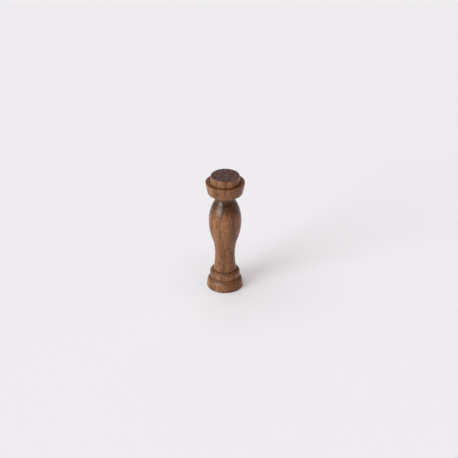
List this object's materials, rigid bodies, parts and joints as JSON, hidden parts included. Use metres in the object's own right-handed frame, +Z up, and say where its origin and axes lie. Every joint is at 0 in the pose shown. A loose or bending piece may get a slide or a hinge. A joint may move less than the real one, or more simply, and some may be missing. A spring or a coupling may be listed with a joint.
{
  "type": "turned wooden playing piece",
  "caption": "Small lathe-turned walnut playing piece: round foot and collar, vase-shaped stem, cup-shaped capital and a flat disc cap, glued on round tenons.",
  "frame": {"origin": "centre of the foot's flat underside, where the piece stands on the board", "axes": "+Z up along the turning axis, from the foot to the cap; X and Y lie in the board's plane, and the piece is round, so neither is special"},
  "size_m": [0.0078, 0.0078, 0.025],
  "materials": {
    "walnut": "thin satin lacquer over open-pored walnut; darker end grain on faces that look up or down"
  },
  "bodies": {
    "root": {"foot": "walnut", "collar": "walnut", "stem": "walnut", "capital": "walnut", "cap": "walnut"}
  },
  "joints": []
}
